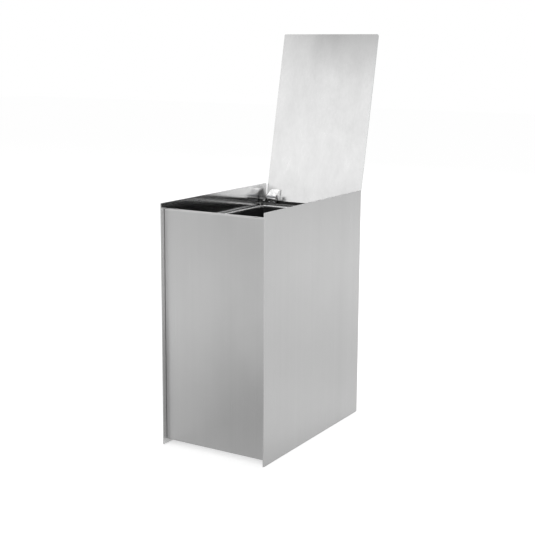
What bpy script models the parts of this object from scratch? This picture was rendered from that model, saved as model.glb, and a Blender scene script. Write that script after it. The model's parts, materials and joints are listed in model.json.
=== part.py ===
"""Waste bin: two flat side panels, folded panels between them, a rear-hinged lid and a lift-out inner bin.

Lengths are in metres. The cabinet frame has x across the bin, y from the side panels' front edges to
the rear, and z up from the floor. The lid stands open, leaning back on its stops.
"""

import math

import bmesh
import bpy
from mathutils import Matrix, Vector

# Cabinet
body_width = 0.290
body_depth = 0.480
body_height = 0.600
reveal = 0.012
floor_clearance = 0.0008
side_thickness = 0.0025
side_corner_radius = 0.0015

# Folded sheet
sheet_thickness = 0.0015
bend_radius = 0.0018
panel_side_flange = 0.020
panel_bottom_flange = 0.030
front_top_drop = 0.0145
front_top_flange = 0.014
base_end_clearance = 0.002
base_flange = 0.018

# Rear panel, its edge strip and the rail in front of it
rear_top_drop = 0.0468
strip_wall = 0.0008
strip_web = 0.002
strip_height = 0.0080
strip_end_clearance = 0.0005
rail_gap = 0.0006
rail_depth = 0.0121
rail_flange = 0.018
rail_top_drop = 0.050

# Lid, and the buffers it closes on
lid_thickness = 0.0025
lid_side_clearance = 0.0008
lid_corner_radius = 0.004
lid_lean = math.radians(11.93)
lid_buffer_radius = 0.004
lid_buffer_height = 0.0012
lid_buffer_side_inset = 0.032

# Hinges
hinge_axis_inset = 0.0217
hinge_axis_drop = 0.033
hinge_side_offset = 0.0325
lid_bracket_width = 0.029
lid_bracket_length = 0.027
lid_bracket_foot = 0.003
arm_pivot_radius = 0.0055
ear_pivot_radius = 0.0046
ear_shoulder_rise = 0.0005
washer_thickness = 0.0008
washer_radius = 0.005
pin_radius = 0.0025
pin_head_radius = 0.004
pin_head_thickness = 0.0015

# Small fasteners of the hinges
thread_radius = 0.0015
nut_flats = 0.0055
nut_height = 0.0024
screw_head_radius = 0.0028
screw_head_height = 0.0018
thread_overhang = 0.001
bracket_screw_spacing = 0.016

# Feet and pads
foot_radius = 0.014
foot_side_inset = 0.027
foot_end_inset = 0.060
foot_screw_radius = 0.0025
foot_screw_head_radius = 0.0045
foot_screw_head_height = 0.0025
foot_bore_depth = 0.009
pad_radius = 0.009
pad_height = 0.004
pad_side_inset = 0.050
pad_end_inset = 0.075

# Inner bin and bag ring
ring_top_drop = 0.055
ring_side_clearance = 0.0055
ring_end_inset = 0.0285
ring_corner_radius = 0.016
ring_width = 0.010
ring_sheet = 0.001
ring_bend = 0.002
ring_skirt = 0.012
ring_lip = 0.008
bin_wall = 0.0022
bin_rim_height = 0.009
bin_rim_fit = 0.0006
bin_wall_fit = 0.0006
bin_floor = 0.003
bin_floor_radius = 0.006
bin_draft = math.radians(1.2)
slot_width = 0.100
slot_height = 0.024
slot_drop = 0.024

# Fits
seat_gap = 0.0003
bore_clearance = 0.0003
cut_overrun = 0.002

# Facets
bend_segments = 4
corner_segments = 5
arc_segments = 10
round_segments = 24
bore_segments = 12

# Worked-out places in the cabinet frame
inner_half_width = body_width / 2 - side_thickness
flange_half_width = inner_half_width - seat_gap
flange_inner_half_width = flange_half_width - sheet_thickness
front_top = body_height - front_top_drop
rear_top = body_height - rear_top_drop
rear_face = body_depth - reveal
lid_underside = front_top + seat_gap + lid_buffer_height + seat_gap
base_underside = reveal + sheet_thickness + seat_gap
base_top = base_underside + sheet_thickness
rail_top = body_height - rail_top_drop
rail_rear = rear_face - sheet_thickness - seat_gap - strip_wall - rail_gap
rail_centre = rail_rear - rail_depth / 2
rail_half_width = flange_inner_half_width - seat_gap
axis_depth = body_depth - hinge_axis_inset
axis_height = body_height - hinge_axis_drop
open_angle = math.pi / 2 + lid_lean
lid_length = body_depth - 2 * reveal
lid_rear_reach = hinge_axis_inset - reveal
lid_rise = lid_underside - axis_height
hinge_centre_x = body_width / 2 - hinge_side_offset
ear_inner = lid_bracket_width / 2 + seat_gap + washer_thickness + seat_gap
ear_outer = ear_inner + sheet_thickness
bin_underside = base_top + seat_gap + pad_height + seat_gap
ring_top = body_height - ring_top_drop
ring_half_x = inner_half_width - ring_side_clearance
ring_half_y = body_depth / 2 - ring_end_inset
rim_top = ring_top - ring_sheet - seat_gap


def lid_rear_extent():
    """Depth of the open lid's rearmost corner, which sets the middle of the whole object."""
    front_reach = lid_length - lid_rear_reach
    outer_rise = lid_rise + lid_thickness
    return axis_depth - front_reach * math.cos(open_angle) + outer_rise * math.sin(open_angle)


def clear_scene():
    for item in list(bpy.data.objects):
        bpy.data.objects.remove(item, do_unlink=True)


def make_material(name, colour, roughness, metallic):
    material = bpy.data.materials.new(name)
    material.use_nodes = True
    shader = material.node_tree.nodes["Principled BSDF"]
    shader.inputs["Base Color"].default_value = (*colour, 1)
    shader.inputs["Roughness"].default_value = roughness
    shader.inputs["Metallic"].default_value = metallic
    material.diffuse_color = (*colour, 1)
    return material


def make_empty(name, parent=None, location=(0, 0, 0), rotation=(0, 0, 0)):
    empty = bpy.data.objects.new(name, None)
    bpy.context.scene.collection.objects.link(empty)
    empty.parent = parent
    empty.location = location
    empty.rotation_euler = rotation
    return empty


def make_object(name, mesh_builder, material, parent, location=(0, 0, 0), rotation=(0, 0, 0)):
    """Links an object whose mesh the builder fills, with outward normals and smooth round faces."""
    bm = bmesh.new()
    mesh_builder(bm)
    bmesh.ops.recalc_face_normals(bm, faces=bm.faces)
    mesh = bpy.data.meshes.new(name)
    bm.to_mesh(mesh)
    bm.free()
    mesh.shade_smooth()
    mesh.set_sharp_from_angle(angle=math.radians(32))
    item = bpy.data.objects.new(name, mesh)
    bpy.context.scene.collection.objects.link(item)
    item.parent = parent
    item.location = location
    item.rotation_euler = rotation
    if material:
        item.data.materials.append(material)
    return item


def make_cutter(name, mesh_builder, parent, location=(0, 0, 0), rotation=(0, 0, 0)):
    cutter = make_object(name, mesh_builder, None, parent, location, rotation)
    cutter.hide_render = True
    cutter.display_type = "WIRE"
    return cutter


def boolean(item, cutter, operation="DIFFERENCE"):
    modifier = item.modifiers.new(cutter.name, "BOOLEAN")
    modifier.object = cutter
    modifier.operation = operation
    modifier.solver = "EXACT"


def along_x(x, y, z):
    """Placement whose Z axis points along +X."""
    return Matrix.Translation((x, y, z)) @ Matrix.Rotation(math.pi / 2, 4, "Y")


def along_y(x, y, z):
    """Placement whose Z axis points along +Y and whose Y axis points down."""
    return Matrix.Translation((x, y, z)) @ Matrix.Rotation(-math.pi / 2, 4, "X")


def along_z(x, y, z):
    return Matrix.Translation((x, y, z))


def profile_plane(x):
    """Placement across the bin at x: its X axis is the depth, its Y axis the height, its Z axis +X."""
    return Matrix.Translation((x, 0, 0)) @ Matrix(((0, 0, 1, 0), (1, 0, 0, 0), (0, 1, 0, 0), (0, 0, 0, 1)))


def arc_points(centre, radius, start, end, segments):
    """Points on an arc from the start angle to the end angle, both ends included."""
    angles = [start + (end - start) * step / segments for step in range(segments + 1)]
    return [(centre[0] + radius * math.cos(a), centre[1] + radius * math.sin(a)) for a in angles]


def circle_points(radius, segments):
    return arc_points((0, 0), radius, 0, 2 * math.pi, segments)[:-1]


def hexagon_points(flats):
    """A hexagon with a point at each corner and each flat's middle, to match a round bore."""
    corner_radius = flats / (2 * math.cos(math.pi / 6))
    radii = (corner_radius, flats / 2) * 6
    angles = [math.pi * step / 6 for step in range(len(radii))]
    return [(r * math.cos(a), r * math.sin(a)) for r, a in zip(radii, angles)]


def rounded_rectangle(half_x, half_y, radius, segments=corner_segments):
    points = []
    for quarter, (side_x, side_y) in enumerate(((1, 1), (-1, 1), (-1, -1), (1, -1))):
        centre = (side_x * (half_x - radius), side_y * (half_y - radius))
        start = quarter * math.pi / 2
        points += arc_points(centre, radius, start, start + math.pi / 2, segments)
    return points


def add_prism(bm, outline, height, placement):
    """Extrudes a closed outline from the placement's XY plane along its Z axis."""
    corners = [bm.verts.new(placement @ Vector((x, y, 0))) for x, y in outline]
    base = bm.faces.new(corners)
    extruded = bmesh.ops.extrude_face_region(bm, geom=[base])
    moved = [part for part in extruded["geom"] if isinstance(part, bmesh.types.BMVert)]
    bmesh.ops.translate(bm, verts=moved, vec=placement.to_3x3() @ Vector((0, 0, height)))


def add_cylinder(bm, radius, height, placement, segments=bore_segments):
    add_prism(bm, circle_points(radius, segments), height, placement)


def add_loft(bm, loops, closed):
    """Skins a row of point loops with equal counts: into a ring if closed, else capped at both ends."""
    rows = [[bm.verts.new(point) for point in loop] for loop in loops]
    pairs = list(zip(rows, rows[1:]))
    if closed:
        pairs.append((rows[-1], rows[0]))
    for lower, upper in pairs:
        for index in range(len(lower)):
            after = (index + 1) % len(lower)
            bm.faces.new((lower[index], lower[after], upper[after], upper[index]))
    if not closed:
        bm.faces.new(rows[0])
        bm.faces.new(rows[-1])


def add_tube(bm, outer, inner, height, placement):
    """A straight tube between two outlines with equal counts, such as a nut or a washer."""
    steps = ((outer, 0), (outer, height), (inner, height), (inner, 0))
    add_loft(bm, [[placement @ Vector((x, y, z)) for x, y in outline] for outline, z in steps], closed=True)


def add_turned(bm, profile, segments):
    """Turns a profile of radius and height pairs, from one flat end to the other, about the Z axis."""
    loops = [[(x, y, height) for x, y in circle_points(radius, segments)] for radius, height in profile]
    add_loft(bm, loops, closed=False)


def make_turned(name, profile, material, parent, location, segments=round_segments, rotation=(0, 0, 0)):
    def build(bm):
        add_turned(bm, profile, segments)

    return make_object(name, build, material, parent, location, rotation)


def make_nut(name, material, parent, location):
    """A hexagon nut standing on its location, with its bore along Z."""
    bore = circle_points(thread_radius + bore_clearance, bore_segments)

    def build(bm):
        add_tube(bm, hexagon_points(nut_flats), bore, nut_height, along_z(0, 0, 0))

    return make_object(name, build, material, parent, location)


def folded_sheet(width, height, flanges):
    """Builder for a sheet in the XY plane, outer side at +Z, with edges folded to -Z.

    The flanges give the depth of each folded edge, from the outer side, by the names left, right,
    bottom and top. An edge without a flange stays flat.
    """
    directions = {"right": (1, 0), "top": (0, 1), "left": (-1, 0), "bottom": (0, -1)}

    def edge_place(side, half_size):
        return half_size - (bend_radius if side in flanges else 0)

    def build(bm):
        right = edge_place("right", width / 2)
        left = -edge_place("left", width / 2)
        top = edge_place("top", height / 2)
        bottom = -edge_place("bottom", height / 2)
        places = ((right, bottom), (right, top), (left, top), (left, bottom))
        corners = [bm.verts.new((x, y, 0)) for x, y in places]
        bm.faces.new(corners)
        for index, side in enumerate(("right", "top", "left", "bottom")):
            if side not in flanges:
                continue
            edge = bm.edges.get((corners[index], corners[(index + 1) % 4]))
            outward = Vector((*directions[side], 0))
            steps = []
            for step in range(1, bend_segments + 1):
                angle = math.pi / 2 * step / bend_segments
                drop = bend_radius * (1 - math.cos(angle))
                steps.append(outward * bend_radius * math.sin(angle) - Vector((0, 0, drop)))
            steps.append(outward * bend_radius - Vector((0, 0, flanges[side])))
            reached = Vector((0, 0, 0))
            for place in steps:
                extruded = bmesh.ops.extrude_edge_only(bm, edges=[edge])["geom"]
                moved = [part for part in extruded if isinstance(part, bmesh.types.BMVert)]
                edge = next(part for part in extruded if isinstance(part, bmesh.types.BMEdge)
                            and all(vertex in moved for vertex in part.verts))
                bmesh.ops.translate(bm, verts=moved, vec=place - reached)
                reached = place

    return build


def make_sheet(name, width, height, flanges, material, parent, location, rotation):
    item = make_object(name, folded_sheet(width, height, flanges), material, parent, location, rotation)
    solidify = item.modifiers.new("sheet", "SOLIDIFY")
    solidify.thickness = sheet_thickness
    solidify.offset = -1 if outer_side_up(item) else 1
    solidify.use_even_offset = True
    solidify.use_quality_normals = True
    return item


def outer_side_up(item):
    """Whether the flat face's normal points to the outer side, at +Z."""
    return item.data.polygons[0].normal.z > 0


def bore_builder(places, placement, radius, length):
    """Builder for round cutters, each centred on its place along the placement's axis."""

    def build(bm):
        for x, y, z in places:
            add_cylinder(bm, radius, length, placement(x, y, z) @ Matrix.Translation((0, 0, -length / 2)))

    return build


def side_panel(name, side, material, cabinet):
    """A flat plate on edge, with slightly rounded corners."""
    height = body_height - floor_clearance
    outline = rounded_rectangle(body_depth / 2, height / 2, side_corner_radius, bend_segments)

    def build(bm):
        add_prism(bm, outline, side_thickness, profile_plane(-side_thickness / 2))

    centre_x = side * (body_width - side_thickness) / 2
    location = (centre_x, body_depth / 2, floor_clearance + height / 2)
    return make_object(name, build, material, cabinet, location)


def front_panel(material, cabinet):
    """A tray between the side panels, welded to them at its side flanges."""
    flanges = {"left": panel_side_flange, "right": panel_side_flange,
               "top": front_top_flange, "bottom": panel_bottom_flange}
    height = front_top - reveal
    make_sheet("front_panel", 2 * flange_half_width, height, flanges, material, cabinet,
               (0, reveal, reveal + height / 2), (math.pi / 2, 0, 0))


def rear_panel(material, cabinet):
    flanges = {"left": panel_side_flange, "right": panel_side_flange, "bottom": panel_bottom_flange}
    height = rear_top - reveal
    make_sheet("rear_panel", 2 * flange_half_width, height, flanges, material, cabinet,
               (0, rear_face, reveal + height / 2), (math.pi / 2, 0, math.pi))


def rear_edge_strip(material, cabinet):
    """A rubber channel pushed over the rear panel's top edge."""
    outer_rear = rear_face + seat_gap + strip_wall
    inner_rear = rear_face + seat_gap
    inner_front = rear_face - sheet_thickness - seat_gap
    outer_front = inner_front - strip_wall
    slot_top = rear_top + seat_gap
    top = slot_top + strip_web
    bottom = top - strip_height
    crown = strip_wall
    outline = [(outer_front, bottom), (inner_front, bottom), (inner_front, slot_top)]
    outline += [(inner_rear, slot_top), (inner_rear, bottom), (outer_rear, bottom)]
    outline += arc_points((outer_rear - crown, top - crown), crown, 0, math.pi / 2, bend_segments)
    outline += arc_points((outer_front + crown, top - crown), crown, math.pi / 2, math.pi, bend_segments)
    half_length = flange_half_width - bend_radius - strip_end_clearance

    def build(bm):
        add_prism(bm, outline, 2 * half_length, profile_plane(-half_length))

    make_object("rear_edge_strip", build, material, cabinet)


def base_panel(material, cabinet):
    """A tray folded up on four sides, resting on the front and rear panels' bottom flanges."""
    end_inset = reveal + panel_side_flange + base_end_clearance
    depth = body_depth - 2 * end_inset
    flanges = {side: base_flange for side in ("left", "right", "top", "bottom")}
    panel = make_sheet("base_panel", 2 * flange_half_width, depth, flanges, material, cabinet,
                       (0, body_depth / 2, base_underside), (math.pi, 0, 0))
    feet = bore_builder(foot_places(), along_z, foot_screw_radius + bore_clearance, base_flange / 2)
    boolean(panel, make_cutter("base_panel_foot_holes", feet, cabinet))


def rear_rail(material, cabinet):
    """A channel, open below, welded inside the rear panel's side flanges."""
    flanges = {side: rail_flange for side in ("left", "right", "top", "bottom")}
    rail = make_sheet("rear_rail", 2 * rail_half_width, rail_depth, flanges, material, cabinet,
                      (0, rail_centre, rail_top), (0, 0, 0))
    places = base_bracket_screw_places(-1) + base_bracket_screw_places(1)
    holes = bore_builder(places, along_z, thread_radius + bore_clearance, rail_flange / 2)
    boolean(rail, make_cutter("rear_rail_screw_holes", holes, cabinet))


def foot_places():
    """Foot centres at the base's underside: front left, front right, rear left, rear right."""
    side = body_width / 2 - foot_side_inset
    ends = (foot_end_inset, body_depth - foot_end_inset)
    return [(x, y, base_underside) for y in ends for x in (-side, side)]


def foot_profile():
    """Half section of a foot: closed below, with a blind bore for its screw from above."""
    height = base_underside - seat_gap
    bore = foot_screw_radius + bore_clearance
    edge = foot_radius - seat_gap
    return ((edge, 0), (foot_radius, seat_gap), (foot_radius, height), (bore, height),
            (bore, height - foot_bore_depth))


def foot_screw_profile():
    tip = base_underside - foot_bore_depth
    seat = base_top + seat_gap
    return ((foot_screw_radius, tip), (foot_screw_radius, seat), (foot_screw_head_radius, seat),
            (foot_screw_head_radius, seat + foot_screw_head_height))


def feet(rubber, steel, cabinet):
    """A rubber foot under each corner of the base, held by a screw from inside."""
    corners = ("front_left", "front_right", "rear_left", "rear_right")
    for corner, (x, y, z) in zip(corners, foot_places()):
        make_turned("foot_" + corner, foot_profile(), rubber, cabinet, (x, y, 0))
        make_turned("foot_screw_" + corner, foot_screw_profile(), steel, cabinet, (x, y, 0))


def base_pads(material, cabinet):
    """Low rubber pads that carry the inner bin."""
    side = body_width / 2 - pad_side_inset
    profile = ((pad_radius, 0), (pad_radius, pad_height))
    for end, y in (("front", pad_end_inset), ("rear", body_depth - pad_end_inset)):
        for word, x in (("left", -side), ("right", side)):
            make_turned(f"base_pad_{end}_{word}", profile, material, cabinet, (x, y, base_top + seat_gap))


def lid_plate(material, lid_axis):
    """The flat lid in the lid's own frame: its axis at the origin, its closed top up, its front at -Y."""
    half_width = inner_half_width - lid_side_clearance
    outline = rounded_rectangle(half_width, lid_length / 2, lid_corner_radius, corner_segments)
    placement = along_z(0, lid_rear_reach - lid_length / 2, lid_rise)

    def plate(bm):
        add_prism(bm, outline, lid_thickness, placement)

    make_object("lid", plate, material, lid_axis)


def lid_buffers(material, cabinet):
    """Two low clear buffers on the front panel's top flange, on which the closed lid rests."""
    x = flange_half_width - lid_buffer_side_inset
    place_y = reveal + front_top_flange / 2
    place_z = front_top + seat_gap
    profile = ((lid_buffer_radius, 0), (lid_buffer_radius, lid_buffer_height))
    for word, side in (("left", -1), ("right", 1)):
        make_turned("lid_buffer_" + word, profile, material, cabinet, (side * x, place_y, place_z))


def arm_outline():
    """Side view of a lid bracket: a foot along the lid that narrows to the round pivot end."""
    top = lid_rise - seat_gap + cut_overrun
    foot = lid_rise - seat_gap - lid_bracket_foot
    front = arm_pivot_radius - lid_bracket_length
    distance = math.hypot(front, foot)
    tangent = math.atan2(foot, front) + math.acos(arm_pivot_radius / distance)
    outline = [(arm_pivot_radius, top), (front, top), (front, foot)]
    outline += arc_points((0, 0), arm_pivot_radius, tangent, 2 * math.pi, arc_segments)
    return outline


def lid_bracket(name, side, material, lid_axis):
    """A channel welded under the lid, whose two flanges are cut to triangular arms."""
    rise = lid_rise - seat_gap
    middle = arm_pivot_radius - lid_bracket_length / 2
    flange = rise + arm_pivot_radius + cut_overrun
    centre_x = side * hinge_centre_x
    bracket = make_sheet(name, lid_bracket_width, lid_bracket_length + 2 * cut_overrun,
                         {"left": flange, "right": flange}, material, lid_axis,
                         (centre_x, middle, rise), (0, 0, 0))
    half_span = lid_bracket_width / 2 + cut_overrun

    def profile(bm):
        add_prism(bm, arm_outline(), 2 * half_span, profile_plane(centre_x - half_span))

    boolean(bracket, make_cutter(name + "_profile", profile, lid_axis), "INTERSECT")
    pivot = bore_builder([(centre_x, 0, 0)], along_x, pin_radius + bore_clearance, 2 * half_span)
    boolean(bracket, make_cutter(name + "_pivot_holes", pivot, lid_axis))


def stop_lip_height():
    """Height of the stop lip's top above the base bracket's underside, just under the open arms."""
    lip_reach = rail_rear - axis_depth
    along_arm = (lip_reach - arm_pivot_radius * math.cos(open_angle)) / math.sin(open_angle)
    arm_edge = -arm_pivot_radius * math.sin(open_angle) + along_arm * math.cos(open_angle)
    return axis_height + arm_edge - seat_gap - (rail_top + seat_gap)


def ear_outline():
    """Side view of a base bracket: full depth up to a shoulder, then narrowing to the round pivot end."""
    bottom = rail_top + seat_gap - cut_overrun
    shoulder = rail_top + seat_gap + stop_lip_height() + ear_shoulder_rise
    front = rail_centre - rail_depth / 2 - cut_overrun
    rear = rail_rear + cut_overrun
    outline = [(front, bottom), (rear, bottom), (rear, shoulder), (axis_depth + ear_pivot_radius, shoulder)]
    outline += arc_points((axis_depth, axis_height), ear_pivot_radius, 0, math.pi, arc_segments)
    outline.append((front, shoulder))
    return outline


def base_bracket(name, side, material, cabinet):
    """A clevis on the rail: two ears for the pin, and a rear lip on which the open lid's arms rest."""
    seat = rail_top + seat_gap
    ear_height = axis_height + ear_pivot_radius + cut_overrun - seat
    centre_x = side * hinge_centre_x
    flanges = {"left": ear_height, "right": ear_height, "bottom": stop_lip_height()}
    bracket = make_sheet(name, 2 * ear_outer, rail_depth, flanges, material, cabinet,
                         (centre_x, rail_centre, seat), (math.pi, 0, 0))
    half_span = ear_outer + cut_overrun

    def profile(bm):
        add_prism(bm, ear_outline(), 2 * half_span, profile_plane(centre_x - half_span))

    boolean(bracket, make_cutter(name + "_profile", profile, cabinet), "INTERSECT")
    pivot = bore_builder([(centre_x, axis_depth, axis_height)], along_x, pin_radius + bore_clearance,
                         2 * half_span)
    boolean(bracket, make_cutter(name + "_pivot_holes", pivot, cabinet))
    screws = bore_builder(base_bracket_screw_places(side), along_z, thread_radius + bore_clearance,
                          2 * cut_overrun + 2 * sheet_thickness)
    boolean(bracket, make_cutter(name + "_screw_holes", screws, cabinet))


def base_bracket_screw_places(side):
    half = bracket_screw_spacing / 2
    return [(side * hinge_centre_x + x, rail_centre, rail_top) for x in (-half, half)]


def base_bracket_fasteners(word, side, material, cabinet):
    """Screws through a base bracket and the rail's top, with nuts under the rail's top."""
    seat = seat_gap + sheet_thickness + seat_gap
    nut_bottom = -sheet_thickness - seat_gap - nut_height
    profile = ((thread_radius, nut_bottom - thread_overhang), (thread_radius, seat),
               (screw_head_radius, seat), (screw_head_radius, seat + screw_head_height))
    for place, (x, y, z) in zip(("inner", "outer")[::side], base_bracket_screw_places(side)):
        screw_name = f"base_bracket_screw_{word}_{place}"
        make_turned(screw_name, profile, material, cabinet, (x, y, z), bore_segments)
        make_nut(f"base_bracket_nut_{word}_{place}", material, cabinet, (x, y, z + nut_bottom))


def hinge_pin(name, side, material, cabinet):
    """A riveted pin with a flat head outside each ear."""
    seat = ear_outer + seat_gap
    end = seat + pin_head_thickness
    profile = ((pin_head_radius, -end), (pin_head_radius, -seat), (pin_radius, -seat),
               (pin_radius, seat), (pin_head_radius, seat), (pin_head_radius, end))
    location = (side * hinge_centre_x, axis_depth, axis_height)
    make_turned(name, profile, material, cabinet, location, rotation=(0, math.pi / 2, 0))


def hinge_washers(word, side, material, cabinet):
    """Two plain washers, each between an arm and an ear."""
    outer = circle_points(washer_radius, round_segments)
    inner = circle_points(pin_radius + bore_clearance, round_segments)
    middle = lid_bracket_width / 2 + seat_gap + washer_thickness / 2

    def build(bm):
        add_tube(bm, outer, inner, washer_thickness, along_x(-washer_thickness / 2, 0, 0))

    for place, offset in zip(("inner", "outer")[::side], (-middle, middle)):
        location = (side * hinge_centre_x + offset, axis_depth, axis_height)
        make_object(f"hinge_washer_{word}_{place}", build, material, cabinet, location)


def ring_loop(inset, height):
    """Rounded outline a given inset inside the bag ring's outer edge, concentric as far as its width."""
    radius = ring_corner_radius - min(inset, ring_width)
    return [(x, y, height) for x, y in rounded_rectangle(ring_half_x - inset, ring_half_y - inset, radius)]


def bag_ring(material, cabinet):
    """A folded steel ring over the inner bin's rim: outer skirt, flat top and inner lip."""
    lip_outer = ring_width - ring_sheet
    section = [(0, -ring_skirt)]
    section += arc_points((ring_bend, -ring_bend), ring_bend, math.pi, math.pi / 2, bend_segments)
    section += arc_points((ring_width - ring_bend, -ring_bend), ring_bend, math.pi / 2, 0, bend_segments)
    section += [(ring_width, -ring_lip), (lip_outer, -ring_lip), (lip_outer, -ring_sheet)]
    section += [(ring_sheet, -ring_sheet), (ring_sheet, -ring_skirt)]

    def build(bm):
        add_loft(bm, [ring_loop(inset, height) for inset, height in section], closed=True)

    make_object("bag_ring", build, material, cabinet, (0, body_depth / 2, ring_top))


def bin_wall_inset(height):
    """Inset of the drafted outer wall from the ring's outer edge, at a height under the rim's top."""
    top_inset = ring_width - ring_sheet - bin_wall_fit - bin_wall
    return top_inset + height * math.tan(bin_draft)


def inner_bin(material, cabinet):
    """A moulded bin with drafted walls, a rounded foot, a turned-down rim and a hand slot at each end."""
    depth = rim_top - bin_underside
    rim_inset = ring_sheet + bin_rim_fit
    lip_inset = rim_inset + bin_wall
    section = []
    foot_inset = bin_wall_inset(depth)
    for x, y in arc_points((0, 0), bin_floor_radius, -math.pi / 2, 0, bend_segments):
        section.append((foot_inset + bin_floor_radius - x, bin_floor_radius + y - depth))
    section += [(bin_wall_inset(bin_wall), -bin_wall), (lip_inset, -bin_wall)]
    section += [(lip_inset, -bin_rim_height), (rim_inset, -bin_rim_height), (rim_inset, 0)]
    section.append((bin_wall_inset(0) + bin_wall, 0))
    inner_radius = bin_floor_radius - bin_wall
    for x, y in arc_points((0, 0), inner_radius, 0, -math.pi / 2, bend_segments):
        section.append((foot_inset + bin_wall + inner_radius - x, bin_floor + inner_radius + y - depth))

    def build(bm):
        add_loft(bm, [ring_loop(inset, height) for inset, height in section], closed=False)

    bin_object = make_object("inner_bin", build, material, cabinet, (0, body_depth / 2, rim_top))
    length = 2 * (ring_half_y + cut_overrun)
    outline = rounded_rectangle(slot_width / 2, slot_height / 2, slot_height / 2 - seat_gap)

    def slots(bm):
        add_prism(bm, outline, length, along_y(0, -length / 2, -slot_drop))

    boolean(bin_object, make_cutter("inner_bin_slots", slots, bin_object))


def build_bin():
    clear_scene()
    middle = lid_rear_extent() / 2
    cabinet = make_empty("cabinet_frame", location=(0, -middle, 0))
    lid_axis = make_empty("lid_axis", cabinet, (0, axis_depth, axis_height), (-open_angle, 0, 0))

    brushed = make_material("brushed_steel", (0.56, 0.56, 0.56), 0.32, 1.0)
    polished = make_material("polished_steel", (0.62, 0.62, 0.62), 0.16, 1.0)
    zinc = make_material("zinc_plated_steel", (0.50, 0.50, 0.52), 0.38, 1.0)
    rubber = make_material("black_rubber", (0.02, 0.02, 0.02), 0.85, 0.0)
    silicone = make_material("clear_silicone", (0.62, 0.62, 0.61), 0.3, 0.0)
    nylon = make_material("white_nylon", (0.75, 0.75, 0.72), 0.5, 0.0)
    plastic = make_material("black_plastic", (0.015, 0.015, 0.016), 0.55, 0.0)

    side_panel("left_side_panel", -1, brushed, cabinet)
    side_panel("right_side_panel", 1, brushed, cabinet)
    front_panel(brushed, cabinet)
    rear_panel(brushed, cabinet)
    rear_edge_strip(rubber, cabinet)
    base_panel(zinc, cabinet)
    rear_rail(brushed, cabinet)
    feet(rubber, zinc, cabinet)
    base_pads(rubber, cabinet)

    lid_plate(brushed, lid_axis)
    lid_buffers(silicone, cabinet)
    for word, side in (("left", -1), ("right", 1)):
        lid_bracket("lid_bracket_" + word, side, brushed, lid_axis)
        base_bracket("base_bracket_" + word, side, polished, cabinet)
        hinge_pin("hinge_pin_" + word, side, zinc, cabinet)
        hinge_washers(word, side, nylon, cabinet)
        base_bracket_fasteners(word, side, zinc, cabinet)

    inner_bin(plastic, cabinet)
    bag_ring(polished, cabinet)


build_bin()
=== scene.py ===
import json
import math

import bmesh
import bpy
from mathutils import Matrix, Vector


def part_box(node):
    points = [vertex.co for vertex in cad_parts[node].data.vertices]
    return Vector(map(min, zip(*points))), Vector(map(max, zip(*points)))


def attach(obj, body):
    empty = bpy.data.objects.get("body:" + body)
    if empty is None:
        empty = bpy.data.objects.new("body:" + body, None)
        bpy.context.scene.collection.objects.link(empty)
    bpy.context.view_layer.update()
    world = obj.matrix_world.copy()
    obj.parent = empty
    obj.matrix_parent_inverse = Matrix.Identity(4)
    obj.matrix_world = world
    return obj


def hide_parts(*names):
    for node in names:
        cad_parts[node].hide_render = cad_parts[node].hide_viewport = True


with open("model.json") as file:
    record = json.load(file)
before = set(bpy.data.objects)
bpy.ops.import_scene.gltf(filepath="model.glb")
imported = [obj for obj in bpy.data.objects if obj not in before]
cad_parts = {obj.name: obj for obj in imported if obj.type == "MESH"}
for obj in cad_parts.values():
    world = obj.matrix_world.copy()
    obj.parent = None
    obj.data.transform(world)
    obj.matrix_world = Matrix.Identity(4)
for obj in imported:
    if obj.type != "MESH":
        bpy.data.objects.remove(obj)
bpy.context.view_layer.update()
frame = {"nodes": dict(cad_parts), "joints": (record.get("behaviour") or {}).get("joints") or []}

nodes = frame["nodes"]
hinge = next(joint for joint in frame["joints"] if joint["name"] == "lid_hinge")

# How far the open lid leans back, as the turn of its grain
lid_lean = (math.pi / 2 - math.radians(hinge["range_deg"][1]), 0, 0)

SIDES = ("left", "right")
PLACES = ("inner", "outer")
CORNERS = ("front_left", "front_right", "rear_left", "rear_right")

# Camera, fitted to the photograph's straight edges with only a small shift
CAMERA_PLACE = (1.4167, -2.36951, 0.9637)
CAMERA_YAW = math.radians(31.246)
CAMERA_PITCH = math.radians(-10.461)
CAMERA_ROLL = math.radians(0.302)
CAMERA_LENS = 74.325
CAMERA_SENSOR = 36
CAMERA_SHIFT = -0.03
CAMERA_REACH = 100

# Floor and world: sizes, colours, and how bright each is where the camera, the steel or the light meets it
WHITE = (1, 1, 1, 1)
FLOOR_COLOUR = (0.80, 0.80, 0.80, 1)
FLOOR_REACH = 14
FLOOR_DROP = 0.0002
FLOOR_GLOW = 0.55
MIRRORED_FLOOR_GLOW = 0.57
WORLD_LIGHT = 0.55
WORLD_SEEN = 1.0

# Painted shade and light on the floor, seen only where the steel mirrors it: middle, inner and outer radius,
# change
FLOOR_PAINTED_SHADE_AND_LIGHT = (((0.25, -0.85, 0), 0.2, 1.15, -0.41), ((0.45, 0.8, 0), 0.1, 1.2, -0.13),
               ((0.35, -0.12, 0), 0.1, 0.5, 0.15))

# Colours of the metals
STEEL = (0.44, 0.44, 0.44)
INNER_STEEL = (0.72, 0.72, 0.72)
BRACKET_STEEL = (0.80, 0.80, 0.80)
EDGE_STEEL = (0.68, 0.68, 0.68)
BRIGHT_STEEL = (0.64, 0.64, 0.64)
DARK_STEEL = (0.12, 0.12, 0.12)
# The brackets' cut edges are real, and their near-black colour is painted shade that outlines them
CUT_EDGE_PAINTED_SHADE = (0.06, 0.06, 0.06)

# Brushed steel: the directions across its grain, and how each noise is stretched
ACROSS_X = (1, 0, 0)
ACROSS_Y = (0, 1, 0)
FINE_GRAIN = (2600, 2600, 14)
STREAKS = (190, 190, 0.9)
WIDE_STREAKS = (38, 38, 0.7)
SCRATCHES = (900, 900, 5)

# Modifiers of the CAD nodes
WELD_DISTANCE = 0.00001
BEVEL_SEGMENTS = 3
BEVEL_ANGLE = math.radians(35)
SHARP_ANGLE = math.radians(38)


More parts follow.
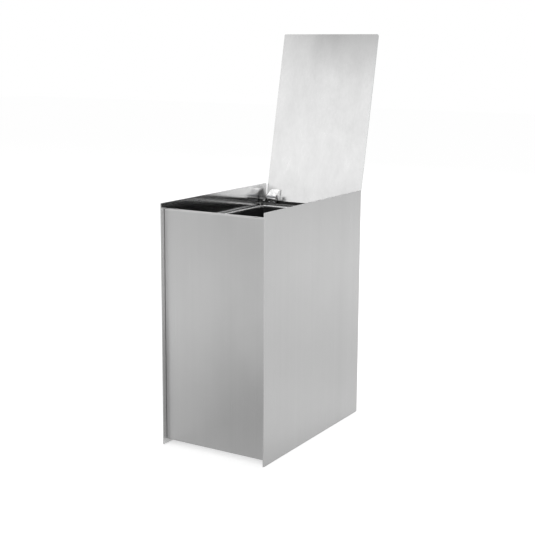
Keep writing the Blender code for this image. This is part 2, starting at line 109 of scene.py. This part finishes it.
class Graph:
    """Adds and links the nodes of one node tree."""

    def __init__(self, tree):
        self.tree = tree

    def set(self, socket, value):
        if isinstance(value, bpy.types.NodeSocket):
            self.tree.links.new(value, socket)
        else:
            socket.default_value = value

    def add(self, kind, inputs=None, **settings):
        node = self.tree.nodes.new(kind)
        for key, value in settings.items():
            setattr(node, key, value)
        for key, value in (inputs or {}).items():
            self.set(node.inputs[key], value)
        return node

    def shade(self, **values):
        """Sets the material's shader, with an underscore for each space in an input's name."""
        shader = self.tree.nodes["Principled BSDF"]
        for key, value in values.items():
            self.set(shader.inputs[key.replace("_", " ")], value)

    def coordinates(self, rotation=(0, 0, 0), scale=(1, 1, 1)):
        """Coordinates fixed to the object, turned and stretched."""
        source = self.add("ShaderNodeTexCoord").outputs["Object"]
        turned = self.add("ShaderNodeMapping", {"Vector": source, "Rotation": rotation})
        return self.add("ShaderNodeMapping", {"Vector": turned.outputs[0], "Scale": scale}).outputs[0]

    def noise(self, vector, scale=1.0, detail=2.0, roughness=0.5, distortion=0.0):
        node = self.add("ShaderNodeTexNoise", {"Vector": vector, "Scale": scale, "Detail": detail,
                                               "Roughness": roughness, "Distortion": distortion})
        return node.outputs["Fac"]

    def cells(self, scale, feature):
        inputs = {"Vector": self.coordinates(), "Scale": scale}
        return self.add("ShaderNodeTexVoronoi", inputs, feature=feature)

    def fit(self, value, low, high, from_low=0.0, from_high=1.0):
        """Low where the value is at from_low, high where it is at from_high."""
        node = self.add("ShaderNodeMapRange", {"Value": value, "From Min": from_low, "From Max": from_high,
                                               "To Min": low, "To Max": high})
        return node.outputs[0]

    def ramp(self, value, start, end):
        """0 up to the start, 1 from the end on."""
        return self.fit(value, 0, 1, start, end)

    def math(self, operation, first, second):
        return self.add("ShaderNodeMath", {0: first, 1: second}, operation=operation).outputs[0]

    def plus(self, first, second):
        return self.math("ADD", first, second)

    def minus(self, first, second):
        return self.math("SUBTRACT", first, second)

    def times(self, first, second):
        return self.math("MULTIPLY", first, second)

    def mix(self, first, second, share):
        """A sum in which the second value has this share, and the first the rest."""
        return self.plus(self.times(first, 1 - share), self.times(second, share))

    def distance(self, first, second):
        node = self.add("ShaderNodeVectorMath", {0: first, 1: second}, operation="DISTANCE")
        return node.outputs["Value"]

    def blend(self, factor, first, second):
        """A colour between two."""
        return self.add("ShaderNodeMix", {0: factor, 6: first, 7: second}, data_type="RGBA").outputs[2]

    def bump(self, height, strength, distance):
        node = self.add("ShaderNodeBump", {"Height": height, "Strength": strength, "Distance": distance})
        return node.outputs[0]

    def seen(self, path):
        """1 for rays from the camera, off metal or through glass, 0 for the light that falls on surfaces."""
        seen = self.math("MAXIMUM", path.outputs["Is Camera Ray"], path.outputs["Is Glossy Ray"])
        return self.math("MAXIMUM", seen, path.outputs["Is Transmission Ray"])


def new_material(name):
    material = bpy.data.materials.new(name)
    material.use_nodes = True
    return material, Graph(material.node_tree)


def tint(colour, factor):
    return (*[channel * factor for channel in colour], 1)


def brushed_steel(name, colour, roughness=0.30, grain_turn=(0, 0, 0), across=ACROSS_X, anisotropy=0.5,
                  contrast=1.0, painted_shade=None, painted_shade_share=0.66):
    """Steel brushed along the turned Z axis: fine grain, wider streaks, clouds and a few longer scratches,
    and painted shade where a mask is given.
    """
    material, g = new_material(name)
    fine = g.noise(g.coordinates(grain_turn, FINE_GRAIN), detail=3, roughness=0.65)
    streak = g.noise(g.coordinates(grain_turn, STREAKS), detail=3, roughness=0.6)
    wide = g.noise(g.coordinates(grain_turn, WIDE_STREAKS))
    cloud = g.noise(g.coordinates(), scale=7.5, detail=4, roughness=0.55, distortion=0.4)
    scratch = g.ramp(g.noise(g.coordinates(grain_turn, SCRATCHES)), 0.70, 0.78)
    tone = g.mix(g.mix(g.mix(fine, streak, 0.5), wide, 0.3), cloud, 0.25)

    dark, light = tint(colour, 1 - 0.10 * contrast), tint(colour, 1 + 0.08 * contrast)
    base = g.blend(g.ramp(tone, 0.3, 0.7), dark, light)
    base = g.blend(g.times(scratch, 0.25 * contrast), base, tint(colour, 1.25))
    # Painted shade: where the given mask is high, the colour falls towards the given share of its own
    if painted_shade:
        base = g.blend(painted_shade(g), base, tint(colour, painted_shade_share))

    spread = 0.05 * contrast
    rough = g.fit(tone, roughness + spread, roughness - spread, 0.3, 0.7)
    rough = g.minus(rough, g.times(scratch, 0.06))
    height = g.plus(fine, g.times(streak, 0.6))
    height = g.minus(height, g.times(scratch, 0.8))
    normal = g.bump(height, strength=0.18 * contrast, distance=0.00003)
    tangent = g.add("ShaderNodeCombineXYZ", dict(zip("XYZ", across))).outputs[0]
    g.shade(Base_Color=base, Metallic=1.0, Roughness=rough, Anisotropic=anisotropy, Normal=normal,
            Tangent=tangent)
    return material


def lid_end_painted_shade(g):
    """How much painted shade darkens the lid towards its free end, in broad soft streaks."""
    place = g.add("ShaderNodeSeparateXYZ", {"Vector": g.coordinates()})
    along = g.ramp(place.outputs["Z"], 0.88, 1.01)
    from_left = g.ramp(place.outputs["X"], -0.15, -0.01)
    to_right = g.fit(place.outputs["X"], 1, 0.6, 0.01, 0.14)
    streak = g.fit(g.noise(g.coordinates(scale=(16, 16, 0.8))), 0.6, 1.0, 0.35, 0.65)
    return g.times(g.times(along, g.times(from_left, to_right)), g.times(streak, 0.95))


def front_painted_shade(g):
    """How much painted shade darkens the front panel towards its right side, in broad soft clouds."""
    place = g.add("ShaderNodeSeparateXYZ", {"Vector": g.coordinates()})
    across = g.ramp(place.outputs["X"], -0.12, 0.04)
    cloud = g.fit(g.noise(g.coordinates(scale=(9, 9, 5))), 0.5, 1.0, 0.35, 0.65)
    return g.times(g.times(across, cloud), 0.28)


def hinge_painted_reflection(g):
    """How much a painted dark reflection of the hinge darkens a side panel's inner face, in a soft spot
    beside the hinge, half as high as wide.
    """
    stretch = (0, 1, 2)
    in_front, above = 0.014, 0.013
    middle = (0, hinge["pos_m"][1] - in_front, stretch[2] * (hinge["pos_m"][2] + above))
    return g.fit(g.distance(g.coordinates(scale=stretch), middle), 1, 0, 0.008, 0.050)


def polished_steel(name, colour, roughness, haze_scale):
    """Steel polished smooth, with a thin haze, faint wipe marks and hairline scratches."""
    material, g = new_material(name)
    haze = g.noise(g.coordinates(), haze_scale, detail=4, roughness=0.55, distortion=0.6)
    wipe = g.noise(g.coordinates((0.2, 0.1, 0.5), (26, 26, 5)), detail=3, distortion=0.3)
    hair = g.ramp(g.noise(g.coordinates((0.6, 0.3, 0.1), (700, 700, 12))), 0.69, 0.76)
    mark = g.mix(haze, wipe, 0.4)
    base = g.blend(g.ramp(mark, 0.35, 0.65), tint(colour, 0.94), tint(colour, 1.05))
    rough = g.fit(mark, roughness * 0.75, roughness * 1.35, 0.35, 0.65)
    rough = g.plus(rough, g.times(hair, 0.08))
    height = g.minus(g.times(mark, 0.4), g.times(hair, 0.5))
    g.shade(Base_Color=base, Metallic=1.0, Roughness=rough,
            Normal=g.bump(height, strength=0.08, distance=0.00005))
    return material


def zinc_plate(name):
    """Zinc plate: a cool grey crystal pattern with dull patches."""
    material, g = new_material(name)
    crystals = g.cells(scale=170.0, feature="F1")
    spangle = g.add("ShaderNodeSeparateColor", {"Color": crystals.outputs["Color"]}).outputs[0]
    patch = g.noise(g.coordinates(), scale=22, detail=4, roughness=0.6)
    fine = g.noise(g.coordinates(), scale=900, detail=3, roughness=0.6)
    mark = g.mix(spangle, patch, 0.55)
    base = g.blend(mark, (0.40, 0.41, 0.43, 1), (0.62, 0.63, 0.65, 1))
    g.shade(Base_Color=base, Metallic=1.0, Roughness=g.fit(mark, 0.30, 0.50),
            Normal=g.bump(g.plus(fine, spangle), strength=0.10, distance=0.00004))
    return material


def rubber(name):
    """Matt black rubber with a fine grain and paler dusty patches."""
    material, g = new_material(name)
    grain = g.noise(g.coordinates(), scale=1400, detail=3, roughness=0.6)
    dust = g.ramp(g.noise(g.coordinates(), scale=60, detail=4, roughness=0.6), 0.45, 0.75)
    base = g.blend(g.times(dust, 0.5), (0.012, 0.012, 0.012, 1), (0.035, 0.034, 0.033, 1))
    g.shade(Base_Color=base, Roughness=g.fit(dust, 0.62, 0.85), Specular_IOR_Level=0.35,
            Normal=g.bump(grain, strength=0.35, distance=0.00012))
    return material


def moulded_plastic(name, dark, light, grain_scale, smooth, rough):
    """Moulded plastic with a fine spark-eroded grain, and faint rub marks that are paler and smoother."""
    material, g = new_material(name)
    cells = g.cells(grain_scale, feature="SMOOTH_F1")
    fine = g.noise(g.coordinates(), grain_scale * 0.6, detail=3, roughness=0.6)
    grain = g.plus(cells.outputs["Distance"], fine)
    rub = g.ramp(g.noise(g.coordinates(scale=(40, 40, 9)), detail=4, roughness=0.6), 0.40, 0.72)
    g.shade(Base_Color=g.blend(rub, tint(dark, 1), tint(light, 1)), Roughness=g.fit(rub, rough, smooth),
            Specular_IOR_Level=0.4, Normal=g.bump(grain, strength=0.30, distance=0.0001))
    return material


# Finishes
outer_side = brushed_steel("brushed_steel_side", STEEL, across=ACROSS_Y, contrast=0.5)
# The front panel carries painted shade towards its right side
outer_front = brushed_steel("brushed_steel_front", STEEL, contrast=0.5, painted_shade=front_painted_shade)
outer_rear = brushed_steel("brushed_steel_rear", STEEL, contrast=0.8)
# The lid carries painted shade towards its free end
lid_steel = brushed_steel("brushed_steel_lid", STEEL, grain_turn=lid_lean, contrast=0.8,
                          painted_shade=lid_end_painted_shade)
# The side panels' inner faces carry a painted dark reflection of the hinge
inner_steel = brushed_steel("brushed_steel_inside", INNER_STEEL, roughness=0.15, across=ACROSS_Y,
                            anisotropy=1.0, contrast=0.5, painted_shade=hinge_painted_reflection, painted_shade_share=0.4)
bracket_steel = brushed_steel("brushed_steel_bracket", BRACKET_STEEL, roughness=0.28, grain_turn=lid_lean,
                              anisotropy=0.0)
edge_steel = polished_steel("deburred_steel_edge", EDGE_STEEL, roughness=0.24, haze_scale=60.0)
bright_steel = polished_steel("polished_steel_fittings", BRIGHT_STEEL, roughness=0.12, haze_scale=40.0)
fitting_steel = polished_steel("polished_steel_brackets", DARK_STEEL, roughness=0.22, haze_scale=60.0)
# Near-black cut edges: painted shade round the brackets
cut_edge_painted_shade = polished_steel("cut_steel_edge_painted_shade", CUT_EDGE_PAINTED_SHADE, roughness=0.34, haze_scale=90.0)
zinc = zinc_plate("zinc_plate")
black_rubber = rubber("black_rubber")
bin_plastic = moulded_plastic("black_moulded_plastic", dark=(0.007, 0.007, 0.008),
                              light=(0.011, 0.011, 0.012), grain_scale=1500.0, smooth=0.45, rough=0.58)
nylon = moulded_plastic("white_nylon", dark=(0.66, 0.65, 0.61), light=(0.76, 0.75, 0.72),
                        grain_scale=2200.0, smooth=0.35, rough=0.50)
silicone = moulded_plastic("clear_silicone", dark=(0.52, 0.52, 0.51), light=(0.60, 0.60, 0.59),
                           grain_scale=1800.0, smooth=0.20, rough=0.32)


def make_surface(name, inward):
    """Modifier tree that welds a mesh, smooths it, and gives the faces that look inward the second finish."""
    g = Graph(bpy.data.node_groups.new(name, "GeometryNodeTree"))
    for side in ("INPUT", "OUTPUT"):
        g.tree.interface.new_socket("Geometry", in_out=side, socket_type="NodeSocketGeometry")
    source = g.add("NodeGroupInput").outputs[0]
    weld = g.add("GeometryNodeMergeByDistance", {"Geometry": source, "Distance": WELD_DISTANCE})
    plain = g.add("GeometryNodeSetMeshNormal", {0: weld.outputs[0], "Remove Custom": True})
    smooth = g.add("GeometryNodeSetShadeSmooth", {"Geometry": plain.outputs[0]})
    normal = g.add("GeometryNodeInputNormal").outputs[0]
    facing = g.add("ShaderNodeVectorMath", {0: normal, 1: inward}, operation="DOT_PRODUCT")
    chosen = g.math("GREATER_THAN", facing.outputs["Value"], 0.5)
    index = g.add("GeometryNodeSetMaterialIndex",
                  {"Geometry": smooth.outputs[0], "Selection": chosen, "Material Index": 1})
    g.add("NodeGroupOutput", {0: index.outputs[0]})
    return g.tree


plain_surface = make_surface("plain_surface", (0, 0, 0))
left_surface = make_surface("left_panel_surface", (1, 0, 0))
right_surface = make_surface("right_panel_surface", (-1, 0, 0))


def finish_node(name, finishes, edge, edge_width, surface=plain_surface):
    """Gives a CAD node its finishes and softens its sharp edges."""
    item = nodes[name]
    item.data.materials.clear()
    for material in finishes + [edge]:
        item.data.materials.append(material)
    item.modifiers.new("surface", "NODES").node_group = surface
    bevel = item.modifiers.new("softened_edges", "BEVEL")
    bevel.width = edge_width
    bevel.segments = BEVEL_SEGMENTS
    bevel.limit_method = "ANGLE"
    bevel.angle_limit = BEVEL_ANGLE
    bevel.harden_normals = True
    bevel.material = len(finishes)


side_finishes = [outer_side, inner_steel]
finish_node("left_side_panel", side_finishes, edge_steel, edge_width=0.0004, surface=left_surface)
finish_node("right_side_panel", side_finishes, edge_steel, edge_width=0.0004, surface=right_surface)
finish_node("front_panel", [outer_front], edge_steel, edge_width=0.0002)
finish_node("rear_panel", [outer_rear], edge_steel, edge_width=0.0002)
finish_node("rear_rail", [fitting_steel], edge_steel, edge_width=0.0002)
finish_node("lid", [lid_steel], edge_steel, edge_width=0.0004)
finish_node("rear_edge_strip", [black_rubber], black_rubber, edge_width=0.00015)
finish_node("base_panel", [zinc], zinc, edge_width=0.0002)
finish_node("bag_ring", [bright_steel], bright_steel, edge_width=0.0002)
finish_node("inner_bin", [bin_plastic], bin_plastic, edge_width=0.0003)
for side in SIDES:
    finish_node("lid_bracket_" + side, [bracket_steel], cut_edge_painted_shade, edge_width=0.0006)
    finish_node("base_bracket_" + side, [fitting_steel], cut_edge_painted_shade, edge_width=0.0004)
    for place in PLACES:
        finish_node(f"hinge_washer_{side}_{place}", [nylon], nylon, edge_width=0.0001)
for corner in CORNERS:
    finish_node("base_pad_" + corner, [black_rubber], black_rubber, edge_width=0.0006)


# Detailed pieces in place of the plain screws, nuts, pins, buffers and feet
def full_turn(count):
    return [2 * math.pi * step / count for step in range(count)]


def loop_point(radius, angle, height):
    return Vector((radius * math.cos(angle), radius * math.sin(angle), height))


def circle_loop(radius, height, count=48):
    return [loop_point(radius, angle, height) for angle in full_turn(count)]


def hexagon_loop(flats, height, limit=math.inf, count=48):
    """A hexagon's outline, cut back to a circle as a chamfer does."""
    loop = []
    for angle in full_turn(count):
        from_flat = (angle + math.pi / 6) % (math.pi / 3) - math.pi / 6
        radius = min(flats / 2 / math.cos(from_flat), limit)
        loop.append(loop_point(radius, angle, height))
    return loop


def dome(radius, rim, low, high, steps=6):
    """Radius and height pairs of a domed head, from its widest place up to its rim."""
    end = math.acos(rim / radius)
    pairs = []
    for step in range(steps + 1):
        angle = end * step / steps
        pairs.append((radius * math.cos(angle), low + (high - low) * math.sin(angle) / math.sin(end)))
    return pairs


def make_piece(node, loops, material, body, place, closed=False):
    """Skins loops into a piece that stands for a CAD node."""
    bm = bmesh.new()
    rows = [[bm.verts.new(point) for point in loop] for loop in loops]
    pairs = list(zip(rows, rows[1:]))
    if closed:
        pairs.append((rows[-1], rows[0]))
    else:
        bm.faces.new(rows[0])
        bm.faces.new(rows[-1])
    for lower, upper in pairs:
        for index in range(len(lower)):
            after = (index + 1) % len(lower)
            bm.faces.new((lower[index], lower[after], upper[after], upper[index]))
    bmesh.ops.recalc_face_normals(bm, faces=bm.faces)
    mesh = bpy.data.meshes.new(node + "_detail")
    bm.to_mesh(mesh)
    bm.free()
    mesh.shade_smooth()
    mesh.set_sharp_from_angle(angle=SHARP_ANGLE)
    mesh.materials.append(material)
    piece = bpy.data.objects.new(node + "_detail", mesh)
    piece.matrix_world = place
    bpy.context.scene.collection.objects.link(piece)
    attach(piece, body)
    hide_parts(node)


def middle_of(node):
    low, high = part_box(node)
    return (Vector(low) + Vector(high)) / 2, Vector(high) - Vector(low)


def standing(centre, size):
    """The place of a piece whose loops start at height 0, on the underside of a node's box."""
    return Matrix.Translation((centre.x, centre.y, centre.z - size.z / 2))


def make_screw(node, shank_radius, head_height, socket):
    """A button-head screw with a hexagon socket and a threaded shank, head up."""
    centre, size = middle_of(node)
    head_radius, length = size.x / 2, size.z
    seat = length - head_height
    tip, root = shank_radius * 0.8, shank_radius * 0.86
    pitch = shank_radius / 3
    loops = [circle_loop(tip, 0)]
    for turn in range(int(seat / pitch)):
        loops.append(circle_loop(shank_radius, pitch * (turn + 0.35)))
        loops.append(circle_loop(root, pitch * (turn + 0.85)))
    loops += [circle_loop(shank_radius, seat), circle_loop(head_radius * 0.95, seat)]

    rim = socket * 0.72
    loops += [circle_loop(r, z) for r, z in dome(head_radius, rim, seat + head_height * 0.18, length)]
    socket_floor = length - head_height * 0.62
    loops += [hexagon_loop(socket, length - 0.0001, rim), hexagon_loop(socket, socket_floor, rim),
              circle_loop(socket * 0.2, socket_floor - 0.0002)]
    make_piece(node, loops, zinc, "cabinet", standing(centre, size))


def make_nut(node, bore):
    """A hexagon nut chamfered on both sides."""
    centre, size = middle_of(node)
    flats, height = size.y, size.z
    chamfer = height * 0.16
    shoulder = chamfer * 1.05
    cut_corner = flats * 0.572
    countersink = bore * 1.15
    loops = [hexagon_loop(flats, 0, flats / 2), hexagon_loop(flats, chamfer, cut_corner),
             hexagon_loop(flats, shoulder), hexagon_loop(flats, height - shoulder),
             hexagon_loop(flats, height - chamfer, cut_corner), hexagon_loop(flats, height, flats / 2),
             circle_loop(countersink, height), circle_loop(bore, height - chamfer),
             circle_loop(bore, chamfer), circle_loop(countersink, 0)]
    make_piece(node, loops, zinc, "cabinet", standing(centre, size), closed=True)


def make_pin(node, radius, head_height):
    """A pin riveted over to a low dome at each end."""
    centre, size = middle_of(node)
    end, head = size.x / 2, size.y / 2
    seat = end - head_height
    half = [(radius, 0), (radius, seat), (head * 0.95, seat)]
    half += dome(head, head * 0.25, end - head_height * 0.75, end, 8)
    loops = [circle_loop(r, -z) for r, z in reversed(half[1:])] + [circle_loop(r, z) for r, z in half]
    turn = Matrix.Rotation(math.pi / 2, 4, "Y")
    make_piece(node, loops, zinc, "cabinet", Matrix.Translation(centre) @ turn)


def make_foot(node, bore, bore_depth):
    """A moulded foot: a ring that stands on the floor, a rounded edge and a shallow groove round its side."""
    centre, size = middle_of(node)
    radius, height = size.x / 2, size.z
    edge, groove = radius * 0.12, radius * 0.05
    narrow = radius - groove
    profile = [(radius * 0.42, groove), (radius * 0.46, 0)]
    for step in range(5):
        angle = math.pi * step / 8
        profile.append((radius - edge + edge * math.sin(angle), edge - edge * math.cos(angle)))
    profile += [(radius, height * 0.42), (narrow, height * 0.46), (narrow, height * 0.56),
                (radius, height * 0.60), (radius, height - groove), (narrow, height), (bore, height),
                (bore, height - bore_depth)]
    loops = [circle_loop(r, z, 64) for r, z in profile]
    make_piece(node, loops, black_rubber, "cabinet", standing(centre, size))


def make_buffer(node):
    """A clear self-adhesive buffer with a low dome."""
    centre, size = middle_of(node)
    radius, height = size.x / 2, size.z
    profile = [(radius * 0.96, 0)] + dome(radius, radius * 0.2, height * 0.35, height, 8)
    loops = [circle_loop(r, z) for r, z in profile]
    make_piece(node, loops, silicone, "cabinet", standing(centre, size))


for side in SIDES:
    make_pin("hinge_pin_" + side, radius=0.0025, head_height=0.0015)
    make_buffer("lid_buffer_" + side)
    for place in PLACES:
        make_screw(f"base_bracket_screw_{side}_{place}", shank_radius=0.0015, head_height=0.0018,
                   socket=0.0020)
        make_nut(f"base_bracket_nut_{side}_{place}", bore=0.0018)
for corner in CORNERS:
    make_foot("foot_" + corner, bore=0.0028, bore_depth=0.009)
    make_screw("foot_screw_" + corner, shank_radius=0.0025, head_height=0.0025, socket=0.0030)


# Floor, world, lamps and camera
def make_floor():
    """A pale floor that shows white, and keeps the object's shadow."""
    bm = bmesh.new()
    bmesh.ops.create_grid(bm, x_segments=4, y_segments=4, size=FLOOR_REACH)
    mesh = bpy.data.meshes.new("studio_floor")
    bm.to_mesh(mesh)
    bm.free()
    floor = bpy.data.objects.new("studio_floor", mesh)
    floor.location.z = -FLOOR_DROP
    bpy.context.scene.collection.objects.link(floor)

    material, g = new_material("studio_floor")
    place = g.add("ShaderNodeTexCoord").outputs["Object"]
    # Painted shade and light on the floor, seen only in the steel's reflections
    mirrored = MIRRORED_FLOOR_GLOW
    for middle, near, far, change in FLOOR_PAINTED_SHADE_AND_LIGHT:
        mirrored = g.plus(mirrored, g.fit(g.distance(place, middle), change, 0, near, far))
    path = g.add("ShaderNodeLightPath")
    strength = g.fit(path.outputs["Is Camera Ray"], mirrored, FLOOR_GLOW)
    diffuse = g.add("ShaderNodeBsdfDiffuse", {"Color": FLOOR_COLOUR}).outputs[0]
    glow = g.add("ShaderNodeEmission", {"Color": WHITE, "Strength": strength}).outputs[0]
    both = g.add("ShaderNodeAddShader", {0: diffuse, 1: glow}).outputs[0]
    surface = g.add("ShaderNodeMixShader", {0: g.seen(path), 1: diffuse, 2: both}).outputs[0]
    g.set(g.tree.nodes["Material Output"].inputs["Surface"], surface)
    mesh.materials.append(material)


def make_world():
    """A world that lights the object softly, and is white where it is seen or mirrored."""
    world = bpy.data.worlds.new("studio")
    bpy.context.scene.world = world
    world.use_nodes = True
    g = Graph(world.node_tree)
    background = g.tree.nodes["Background"]
    g.set(background.inputs["Color"], WHITE)
    seen = g.seen(g.add("ShaderNodeLightPath"))
    g.set(background.inputs["Strength"], g.fit(seen, WORLD_LIGHT, WORLD_SEEN))


def make_softbox(name, place, target, width, height, power):
    """A rectangular lamp that the camera does not see."""
    light = bpy.data.lights.new(name, "AREA")
    light.shape = "RECTANGLE"
    light.size = width
    light.size_y = height
    light.energy = power
    item = bpy.data.objects.new(name, light)
    item.location = place
    item.rotation_euler = (Vector(target) - Vector(place)).to_track_quat("-Z", "Y").to_euler()
    item.visible_camera = False
    bpy.context.scene.collection.objects.link(item)


def make_camera():
    data = bpy.data.cameras.new("camera")
    data.lens = CAMERA_LENS
    data.sensor_width = CAMERA_SENSOR
    data.shift_y = CAMERA_SHIFT
    data.clip_end = CAMERA_REACH
    item = bpy.data.objects.new("camera", data)
    turn = Matrix.Rotation(CAMERA_YAW, 4, "Z") @ Matrix.Rotation(math.pi / 2 + CAMERA_PITCH, 4, "X")
    item.matrix_world = Matrix.Translation(CAMERA_PLACE) @ turn @ Matrix.Rotation(CAMERA_ROLL, 4, "Z")
    bpy.context.scene.collection.objects.link(item)
    bpy.context.scene.camera = item


make_floor()
make_world()
make_softbox("key_rear", place=(0.2, 3.6, 3.2), target=(0, 0, 0.4), width=2.5, height=2.5, power=70)
make_softbox("front_left", place=(-1.95, -3.1, 1.82), target=(0, 0, 0.7), width=4.0, height=1.3, power=18)
make_softbox("front_right", place=(2.04, -2.78, 1.4), target=(0, 0, 0.7), width=1.6, height=1.6, power=18)
make_camera()
bpy.context.scene.view_settings.view_transform = "Standard"
